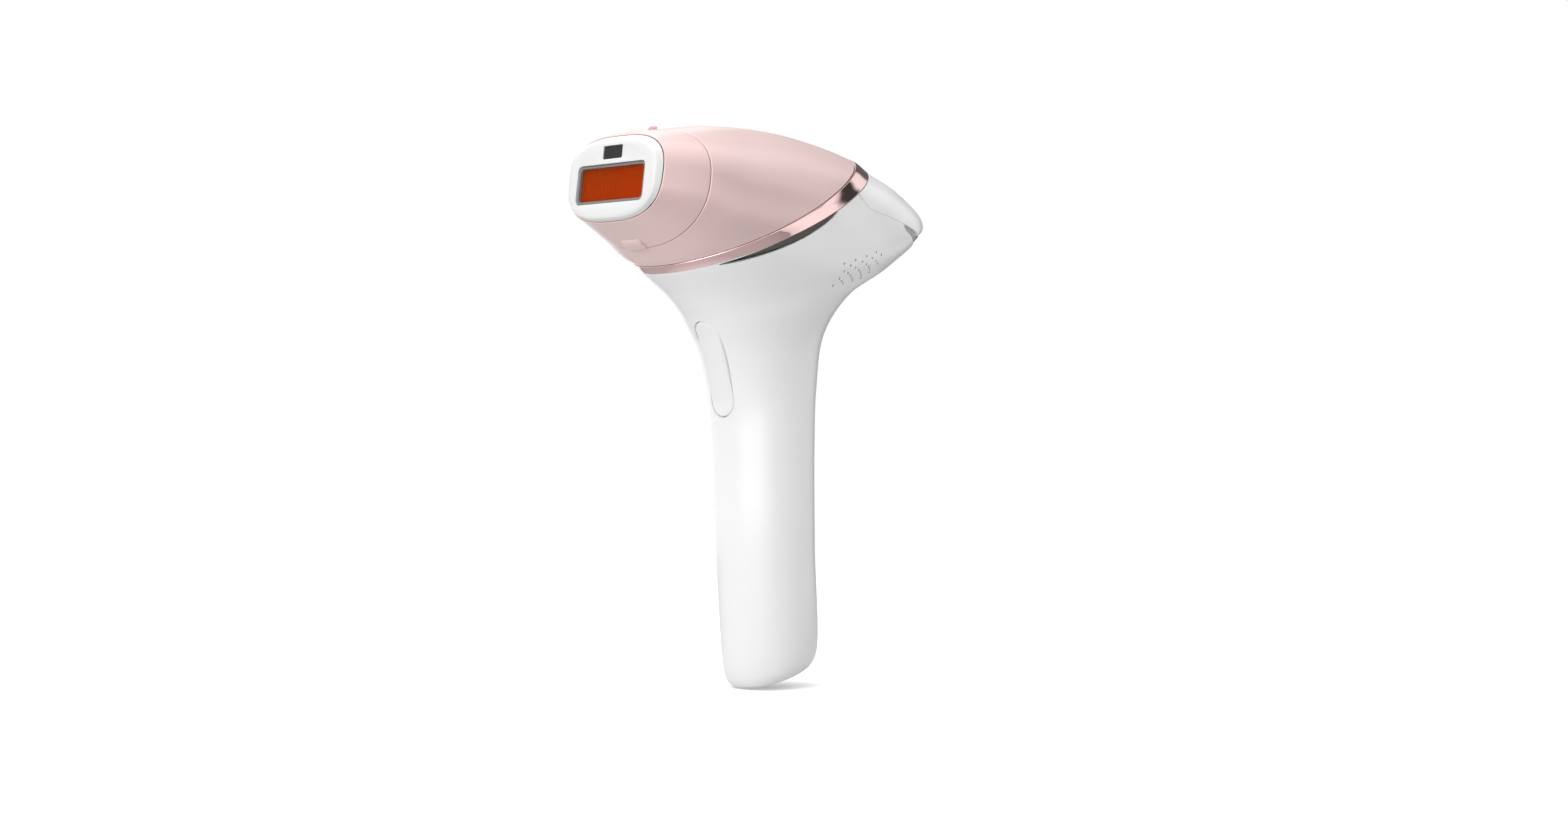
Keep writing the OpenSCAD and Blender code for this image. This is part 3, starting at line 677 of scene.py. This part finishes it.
def main_housing():
    top = RING_LOW + GAP
    step = 1 / pace(np.full(AROUND, top), ANGLES)
    grid = []
    edge = 0.35
    for turn in np.radians(np.linspace(0, 90, 5)):
        slip, drop = edge * (1 - math.cos(turn)), edge * (1 - math.sin(turn))
        grid.append(skin(top + slip * step, ANGLES, drop))
    head, grip = np.linspace(6.08, 10, 150), np.linspace(10, 15, 110)[1:]
    outer = np.concatenate([head, grip, np.linspace(15, SOLE - 0.3, 14)[1:]])
    blend = 1 - np.clip((outer - RING_LOW) / 0.5, 0, 1)
    for t, b in zip(outer, blend):
        grid.append(skin(t + b * (edge * step - 0.02).clip(0), ANGLES))
    grid += sole_rows()
    inner = np.concatenate([np.linspace(15.5, 10, 40), np.linspace(10, top, 50)[1:]])
    inner_rows = len(inner)
    for t in inner:
        grid.append(surface(t, ANGLES, WALL))
    obj = torus("main_housing_skin", grid, MATERIALS["white_plastic"])
    # The inner faces get the dark grey material: painted shade inside the shell.
    obj.data.materials.append(INSIDE_PAINTED_SHADE)
    for face in obj.data.polygons[len(grid) * AROUND - inner_rows * AROUND:]:
        face.material_index = 1
    status_opening = opening(STATUS_ROWS[0] - END_GAP, STATUS_ROWS[1], STATUS_EDGE)
    tools = [cover_opening(), status_opening]
    for side in (-1, 1):
        t, a = inlet_grid(side, INLET_GAP)
        tools.append(slab("inlet_opening", skin(t, a, -3), surface(t, a, WALL + 3)))
    w, l = BUTTON_W + 2 * BUTTON_GAP, BUTTON_L + 2 * BUTTON_GAP
    outline = rounded_outline(w, l, w / 2 - 0.01, 16)
    tools.append(prism("button_opening", on_button, outline, -12, 12))
    tools.append(exhaust_tools())
    cut(obj, tools)
    place_piece(smooth(obj, 30), "device", "white_plastic", "main_housing")


def rear_cover():
    white = MATERIALS["white_plastic"]
    obj = skin_patch("rear_panel_skin", COVER_ROWS, COVER_EDGE, 90, 110, 1.8, 0.3, white)
    holes = [(0, POWER_V, 9.6, 9.6), (0, INTENSITY_V, 5.6, 8.6), (0, SKIN_SENSE_V, 5.8, 5.8)]
    holes += [(3 * k, LIGHTS_V, 1.4, 1.4) for k in range(-2, 3)]
    cut(obj, [
        prism("hole", on_panel, rounded_outline(w, l, w / 2 - 0.01, 18) + [x, v], -12, 12)
        for x, v, w, l in holes
    ])
    place_piece(smooth(obj, 30), "device", "white_plastic", "rear_panel")


def status_window():
    obj = skin_patch(
        "status_light_skin", STATUS_ROWS, STATUS_EDGE, 60, 90, 2.0, 0.25, STATUS_LENS, proud=-0.5
    )
    cut(obj, [cover_opening()])
    place_piece(smooth(obj), "device", "smoked_window", "status_light_window")


def air_inlets():
    for side, name in ((-1, "air_inlet_left"), (1, "air_inlet_right")):
        t, a = inlet_grid(side, 0)
        obj = slab(name + "_skin", skin(t, a, 0.9), surface(t, a, 2.6), MATERIALS["inlet_plastic"])
        place_piece(smooth(obj), "device", "inlet_plastic", name)


# ---- flash button ---------------------------------------------------------------------------
def skin_height(place, x, v, guess):
    """Height of the skin above a local frame, at local x and v, by Newton steps on (t, a)."""
    t, a = np.array(guess[0], float), np.array(guess[1], float)
    target = np.stack([x, v], -1)
    for _ in range(8):
        here = place.local(surface(t, a))
        dt = (place.local(surface(t + 1e-4, a)) - here)[..., :2] / 1e-4
        da = (place.local(surface(t, a + 1e-2)) - here)[..., :2] / 1e-2
        gap = target - here[..., :2]
        det = dt[..., 0] * da[..., 1] - dt[..., 1] * da[..., 0]
        t = t + np.clip((gap[..., 0] * da[..., 1] - gap[..., 1] * da[..., 0]) / det, -0.5, 0.5)
        a = a + np.clip((dt[..., 0] * gap[..., 1] - dt[..., 1] * gap[..., 0]) / det, -8, 8)
    return place.local(surface(t, a))[..., 2]


def flash_button():
    """Long key that follows the handle's skin, with a rounded edge, a flange and a stem."""
    edge = 0.7
    rounding = edge * (1 - np.cos(np.radians(np.linspace(0, 90, 8))))
    insets = np.concatenate([rounding, np.linspace(1.2, 5.6, 9)])
    rows = []
    for inset in insets:
        r = max(BUTTON_W / 2 - inset - 0.005, 0.05)
        outline = rounded_outline(2 * r + 0.01, BUTTON_L - 2 * inset, r, 16)
        x = np.where(np.abs(outline[:, 0]) < 1e-3, 1e-3, outline[:, 0])
        guess_t = 11.3 - outline[:, 1] / 18
        guess_a = np.degrees(np.arcsin(np.clip(x / 20, -1, 1)))
        height = skin_height(on_button, x, outline[:, 1], (guess_t, guess_a))
        short = max(edge - inset, 0)
        drop = edge - math.sqrt(edge**2 - short**2)
        rows.append(on_button(np.column_stack([outline, height - drop])))
    rows = rows[::-1]
    for grow, d in ((0, -6.4), (1.2, -6.4), (1.2, -7.6)):
        w, l = BUTTON_W + 2 * grow, BUTTON_L + 2 * grow
        rows.append(on_button(at_height(rounded_outline(w, l, w / 2 - 0.005, 16), d)))
    for d in (-7.6, -10):
        rows.append(on_button(at_height(rounded_outline(4, 4, 1.99, 16), d)))
    obj = stack("flash_button_skin", rows, MATERIALS["white_plastic"])
    place_piece(smooth(obj, 40), "flash_button", "white_plastic", "flash_button")


# ---- attachment -----------------------------------------------------------------------------
def attachment_shell():
    start, end = 0.66, SEAM - GAP
    edge = 0.25
    first = 1 / pace(np.full(AROUND, start), ANGLES)
    last = 1 / pace(np.full(AROUND, end), ANGLES)

    def proud(t):
        return 0.45 * (SEAM - t) / (SEAM - start)

    def lip(t):
        return np.clip(5 * (t - 0.96), 0, 1.8)

    grid = []
    turns = np.radians(np.linspace(0, 90, 6))
    for turn in turns:
        slip, drop = edge * (1 - math.cos(turn)), edge * (1 - math.sin(turn))
        grid.append(skin(start + slip * first, ANGLES, drop - proud(start)))
    for u in np.linspace(0, 1, 46)[1:-1]:
        t = start + edge * first + (end - start - edge * (first + last)) * u
        grid.append(skin(t, ANGLES, -proud(t)))
    for turn in turns[::-1]:
        slip, drop = edge * (1 - math.cos(turn)), edge * (1 - math.sin(turn))
        grid.append(skin(end - slip * last, ANGLES, drop - proud(end)))
    for t in np.linspace(end, start, 24):
        grid.append(surface(t, ANGLES, lip(t)))
    shell = torus("attachment_shell_skin", grid)
    pads = [finger_catch(k) for k in (0, 1)]
    obj = join("attachment_shell_skin", [shell] + pads, MATERIALS["pink_plastic"])
    place_piece(smooth(obj), "attachment", "pink_plastic", "attachment_shell")


def finger_catch(end):
    """Low pad with a ramp at its front and a square back, for a fingertip."""
    start, stop, spread, height = 1.62, 1.93, (6.5, 5.2)[end], (0.9, 1.1)[end]
    angles = 180 * end + np.linspace(-spread, spread, 60)
    t, a = np.meshgrid(np.linspace(start, stop, 28), angles, indexing="ij")
    u = (t - start) / (stop - start)
    lift = 0.1 + height * np.sin(np.pi / 2 * np.clip(u / 0.4, 0, 1))
    drop = border_drop(surface(t, a), 0.45)
    top = skin(t, a, -0.15 - np.maximum(lift - drop, 0.02 * lift))
    return slab("finger_catch", top, surface(t, a, 0.6))


def contact_frame():
    """White face that rests on the skin: flat front, soft edge, skirt and two openings."""
    back = np.array([0, math.cos(LEAN), -math.sin(LEAN)])
    flat, corner, bevel = surface(0, ANGLES, 1.8), surface(0, ANGLES), surface(0.2, ANGLES)
    rows = []
    for u in np.linspace(0, 1, 12):
        rows.append((1 - u) ** 2 * flat + 2 * u * (1 - u) * corner + u**2 * bevel)
    for t in np.linspace(0.2, RIM, 10)[1:]:
        rows.append(surface(t, ANGLES))
    skirt = surface(RIM, ANGLES, 0.8)
    rows += [skirt, skirt + 3 * back]
    # The face takes the darker copy of the white plastic: painted shade.
    obj = stack("contact_frame_skin", rows, SHADED_FACE_WHITE)
    cut(obj, [
        prism("tool", on_axis, rounded_outline(43, 23, 6), -12, -2),
        prism("tool", on_axis, rounded_outline(36.1, 14.0, 2), -5, 5),
        prism("tool", on_axis, rounded_outline(10.4, 4.8, 0.5) + [0, SENSOR_UP], -5, 5),
    ])
    bevel_edges(obj, 0.25)
    place_piece(smooth(obj, 35), "contact_frame", "white_plastic", "contact_frame")


def bevel_edges(obj, width):
    mod = obj.modifiers.new("soft", "BEVEL")
    mod.width, mod.segments, mod.limit_method = width * MM, 3, "ANGLE"
    mod.angle_limit = math.radians(50)
    graph = bpy.context.evaluated_depsgraph_get()
    mesh = bpy.data.meshes.new_from_object(obj.evaluated_get(graph))
    obj.modifiers.clear()
    obj.data = mesh


# ---- panel buttons --------------------------------------------------------------------------
def push_key(name, node, w, l, v, top):
    """Slightly dished key on a wider flange."""
    rows = []
    edge = 0.4
    for k in range(1, 12):
        share = k / 12
        rows.append((share * (w / 2 - edge), top - 0.12 * (1 - share**2)))
    for turn in np.radians(np.linspace(90, 0, 5)):
        rows.append((w / 2 - edge + edge * math.cos(turn), top - edge + edge * math.sin(turn)))
    rows += [(w / 2, -3.7), (w / 2 + 0.7, -3.7), (w / 2 + 0.7, -4.5)]
    loops = []
    for r, d in rows:
        outline = rounded_outline(2 * r, 2 * r + (l - w), r * 0.999, 14) + [0, v]
        loops.append(on_panel(at_height(outline, d)))
    obj = stack(name, loops, MATERIALS["white_plastic"])
    place_piece(smooth(obj, 40), node, "white_plastic", node)


# ---- springs --------------------------------------------------------------------------------
def coil(place, x, v, base, r, wire, turns, height):
    """Compression spring that stands on a local frame's height base, round (x, v)."""
    around = np.linspace(0, 2 * np.pi, 12, endpoint=False)
    rows = []
    for share in np.linspace(0, 1, 32 * turns):
        turn = 2 * np.pi * turns * share
        out = r + wire * np.cos(around)
        up = base + wire + (height - 2 * wire) * share + wire * np.sin(around)
        rows.append(place(np.column_stack([x + out * np.cos(turn), v + out * np.sin(turn), up])))
    return stack("coil", rows)


def spring(node, coils, place, base, height, travel, body):
    """Coils joined into one spring-steel mesh, hung on the body in place of the node."""
    obj = join(node + "_coils", coils, MATERIALS["spring_steel"])
    face_outward(obj)
    place_piece(smooth(obj, 60), body, "spring_steel", node)
    foot, tip = place([0, 0, base]), place([0, 0, base + 1])
    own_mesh(obj)


def springs():
    """Four small springs behind the contact frame, and one under the flash button's stem."""
    base, height, travel = -9.45, 7.4, 1.0
    corners = [(12 * x, 9.7 * v) for x in (-1, 1) for v in (-1, 1)]
    coils = [coil(on_axis, x, v, base, 1.35, 0.2, 6, height) for x, v in corners]
    spring("contact_springs", coils, on_axis, base, height, travel, "attachment")
    base, height, travel = -11.4, 3.7, 1.2
    coils = [coil(on_button, 0, 0, base, 3, 0.3, 4, height)]
    spring("flash_button_spring", coils, on_button, base, height, travel, "device")


# ---- room, light and camera -----------------------------------------------------------------
class Sky:
    """The world's nodes, with small helpers."""

    def __init__(self):
        world = bpy.data.worlds.new("studio")
        bpy.context.scene.world = world
        world.use_nodes = True
        self.nodes, self.links = world.node_tree.nodes, world.node_tree.links
        self.nodes.clear()

    def math(self, kind, one, two=None):
        made = self.nodes.new("ShaderNodeMath")
        made.operation = kind
        for socket, value in zip(made.inputs, (one, two)):
            if isinstance(value, bpy.types.NodeSocket):
                self.links.new(value, socket)
            elif value is not None:
                socket.default_value = value
        return made.outputs[0]

    def ramp(self, value, stops, ease="LINEAR"):
        made = self.nodes.new("ShaderNodeValToRGB")
        made.color_ramp.interpolation = ease
        for k, (at, tone) in enumerate(stops):
            stop = made.color_ramp.elements[k] if k < 2 else made.color_ramp.elements.new(at)
            stop.position, stop.color = at, (tone, tone, tone, 1)
        self.links.new(value, made.inputs["Fac"])
        return made.outputs["Color"]

    def background(self, colour, strength):
        made = self.nodes.new("ShaderNodeBackground")
        made.inputs["Strength"].default_value = strength
        if isinstance(colour, bpy.types.NodeSocket):
            self.links.new(colour, made.inputs["Color"])
        else:
            made.inputs["Color"].default_value = colour
        return made.outputs["Background"]

    def choose(self, test, other, chosen):
        made = self.nodes.new("ShaderNodeMixShader")
        self.links.new(test, made.inputs["Fac"])
        self.links.new(other, made.inputs[1])
        self.links.new(chosen, made.inputs[2])
        return made.outputs["Shader"]


# Brightness of what a mirror sees, by height from straight down (0) to straight up (1)
HEIGHT = [
    (0.0, 0.7), (0.355, 0.9), (0.42, 1.2), (0.535, 1.15), (0.56, 0.22), (0.6, 0.12), (0.655, 0.14),
    (0.668, 1.1), (0.7, 1.1), (0.73, 0.5), (0.8, 1.25), (1.0, 1.2),
]
# The same by bearing: the far right of the studio is dim
ROUND = [(0.0, 1.0), (0.85, 1.0), (0.92, 0.15), (1.0, 0.2)]
# Brightness of the soft light, by height
SOFT, SOFT_STRENGTH = [(0.0, 0.52), (0.5, 0.72), (0.75, 0.95), (1.0, 1.1)], 0.74
# Bands of light and dark behind the right of the object, by bearing, and the heights they cover
REAR_FROM = 0.79
REAR = [
    (0.0, 1.2), (0.814, 1.15), (0.825, 0.75), (0.833, 0.06), (0.863, 0.05), (0.876, 1.1),
    (0.912, 1.0), (0.926, 0.12), (1.0, 0.18),
]
REAR_HEIGHT = [(0.0, 0.0), (0.53, 0.0), (0.545, 1.0), (0.72, 1.0), (0.76, 0.0), (1.0, 0.0)]
# Tall lamp to the left of the camera, by bearing round the studio and by height
LAMP_ROUND = [(0.0, 0.0), (0.34, 0.0), (0.42, 1.0), (0.52, 1.0), (0.6, 0.0), (1.0, 0.0)]
LAMP_HEIGHT = [(0.0, 0.0), (0.3, 0.0), (0.38, 1.0), (0.7, 1.0), (0.8, 0.0), (1.0, 0.0)]
LAMP_POWER = 3.2
BEARING_FROM = math.radians(226)
# Brightness of the floor in a mirror, by distance from the handle in metres, out to its end
MIRRORED_FLOOR = [(0.0, 0.84), (0.56, 0.37), (0.08, 0.8), (0.14, 0.56), (0.32, 0.5)]
FLOOR_END = 0.56


def studio():
    """White room for the camera, soft light from above, and bands of light and dark for mirrors."""
    sky = Sky()
    path = sky.nodes.new("ShaderNodeLightPath")
    where = sky.nodes.new("ShaderNodeTexCoord")
    split = sky.nodes.new("ShaderNodeSeparateXYZ")
    sky.links.new(where.outputs["Generated"], split.inputs["Vector"])
    x, y, z = split.outputs
    height = sky.math("ADD", sky.math("MULTIPLY", z, 0.5), 0.5)
    bearing = sky.math("ADD", sky.math("ARCTAN2", y, x), BEARING_FROM)
    turn = sky.math("FRACT", sky.math("DIVIDE", bearing, 2 * math.pi))
    lamp = sky.math("MULTIPLY", sky.ramp(turn, LAMP_ROUND), sky.ramp(height, LAMP_HEIGHT))
    past = sky.math("GREATER_THAN", turn, REAR_FROM)
    behind = sky.math("MULTIPLY", past, sky.ramp(height, REAR_HEIGHT))
    wall = sky.math("MULTIPLY", sky.ramp(height, HEIGHT), sky.ramp(turn, ROUND))
    wall = sky.math("MULTIPLY", wall, sky.math("SUBTRACT", 1.0, behind))
    rear = sky.math("MULTIPLY", sky.ramp(turn, REAR), behind)
    lit = sky.math("MULTIPLY", lamp, LAMP_POWER)
    level = sky.math("ADD", sky.math("ADD", wall, rear), lit)
    mirror = sky.background((1, 1, 1, 1), 1.0)
    sky.links.new(level, mirror.node.inputs["Strength"])
    soft = sky.background(sky.ramp(height, SOFT), SOFT_STRENGTH)
    seen = sky.background((1, 1, 1, 1), 1.0)
    out = sky.nodes.new("ShaderNodeOutputWorld")
    room = sky.choose(path.outputs["Is Glossy Ray"], soft, mirror)
    sky.links.new(sky.choose(path.outputs["Is Camera Ray"], room, seen), out.inputs["Surface"])


def mix_shaders(s, share, one, two):
    made = s.node("ShaderNodeMixShader")
    s.links.new(share, made.inputs["Fac"])
    s.links.new(one, made.inputs[1])
    s.links.new(two, made.inputs[2])
    return made.outputs["Shader"]


def mirrored_floor(s, length):
    """What a mirror sees of the floor: a glow by distance, and nothing past its end."""
    glow = s.node("ShaderNodeEmission")
    tone = s.node("ShaderNodeValToRGB")
    for k, (radius, level) in enumerate(MIRRORED_FLOOR):
        stop = tone.color_ramp.elements[k] if k < 2 else tone.color_ramp.elements.new(radius)
        stop.position, stop.color = radius, (level, level, level, 1)
    s.links.new(length, tone.inputs["Fac"])
    s.links.new(tone.outputs["Color"], glow.inputs["Color"])
    beyond = s.node("ShaderNodeMath", operation="GREATER_THAN")
    beyond.inputs[1].default_value = FLOOR_END
    s.links.new(length, beyond.inputs[0])
    clear = s.node("ShaderNodeBsdfTransparent")
    return mix_shaders(s, beyond.outputs[0], glow.outputs["Emission"], clear.outputs["BSDF"])


def floor_shader():
    """Bright and fading out for the camera, dull for bounced light, a glow for mirrors."""
    s = Shader("floor", linear(247, 247, 247), 0.6)
    s.vary_colour(3, linear(246, 246, 246), linear(249, 249, 249))
    s.set("Emission Color", (1, 1, 1, 1))
    s.set("Emission Strength", 0.3)
    where = s.node("ShaderNodeTexCoord")
    measure = s.node("ShaderNodeVectorMath", operation="LENGTH")
    s.links.new(where.outputs["Object"], measure.inputs[0])
    length = measure.outputs["Value"]
    fade = s.node("ShaderNodeMapRange", interpolation_type="SMOOTHSTEP")
    for key, value in (("From Min", 0.15), ("From Max", 0.7), ("To Min", 1), ("To Max", 0)):
        fade.inputs[key].default_value = value
    s.links.new(length, fade.inputs["Value"])
    s.links.new(fade.outputs["Result"], s.bsdf.inputs["Alpha"])
    dull = s.node("ShaderNodeBsdfDiffuse")
    dull.inputs["Color"].default_value = linear(186, 186, 186)
    rays = s.node("ShaderNodeLightPath").outputs
    unseen = mix_shaders(s, rays["Is Glossy Ray"], dull.outputs["BSDF"], mirrored_floor(s, length))
    out = mix_shaders(s, rays["Is Camera Ray"], unseen, s.bsdf.outputs["BSDF"])
    s.links.new(out, s.nodes["Material Output"].inputs["Surface"])
    return s.material


def floor(z):
    """Pale round floor that fades out before its edge."""
    turns = np.linspace(0, 2 * np.pi, 96, endpoint=False)
    rows = [
        np.column_stack([r * np.cos(turns), r * np.sin(turns), np.full(96, z)])
        for r in (40, 400, 1600)
    ]
    faces = grid_faces(3, 96, False, True) + [tuple(range(96))]
    new_object("floor", np.concatenate(rows), faces, floor_shader())


def softbox(name, place, aim, size, power):
    data = bpy.data.lights.new(name, "AREA")
    data.shape, data.size, data.size_y = "RECTANGLE", size[0], size[1]
    data.energy = power
    obj = bpy.data.objects.new(name, data)
    bpy.context.scene.collection.objects.link(obj)
    obj.location = place
    obj.rotation_mode = "QUATERNION"
    obj.rotation_quaternion = (Vector(aim) - Vector(place)).to_track_quat("-Z", "Y")
    obj.visible_glossy = False


def camera():
    """Level view, 46 degrees round from the light exit towards +X."""
    azimuth, distance = math.radians(46), 0.9
    right = Vector((math.cos(azimuth), math.sin(azimuth), 0))
    ahead = Vector((-math.sin(azimuth), math.cos(azimuth), 0))
    target = right * 0.0073 + Vector((0, -0.003, 0.0975))
    data = bpy.data.cameras.new("camera")
    data.sensor_width, data.lens = 36, 56.2
    data.clip_start, data.clip_end = 0.01, 20
    obj = bpy.data.objects.new("camera", data)
    bpy.context.scene.collection.objects.link(obj)
    obj.location = target - ahead * distance
    obj.rotation_mode = "QUATERNION"
    obj.rotation_quaternion = ahead.to_track_quat("-Z", "Y")
    bpy.context.scene.camera = obj


def build():
    for name, obj in frame["nodes"].items():
        material = MATERIALS[SLOT_OF[name]]
        obj.data.materials.clear()
        obj.data.materials.append(material)
    head_cover()
    trim_ring()
    main_housing()
    rear_cover()
    status_window()
    air_inlets()
    flash_button()
    attachment_shell()
    contact_frame()
    push_key("power_key", "power_button", 9, 9, POWER_V, 0.45)
    push_key("intensity_key", "intensity_button", 5, 8, INTENSITY_V, 0.15)
    push_key("skin_sense_key", "skin_sense_button", 5.2, 5.2, SKIN_SENSE_V, -1.2)
    springs()


build()
studio()
FLOOR_GAP = 0.2
floor(cad_low.z / MM - FLOOR_GAP)
softbox("top_light", place=(-0.1, -0.2, 1.1), aim=(0, 0, 0.12), size=(1.1, 0.9), power=9)
softbox("front_light", place=(0.2, -1.2, 0.4), aim=(0, 0, 0.08), size=(0.8, 0.6), power=5.6)
camera()
bpy.context.scene.view_settings.view_transform = "Standard"
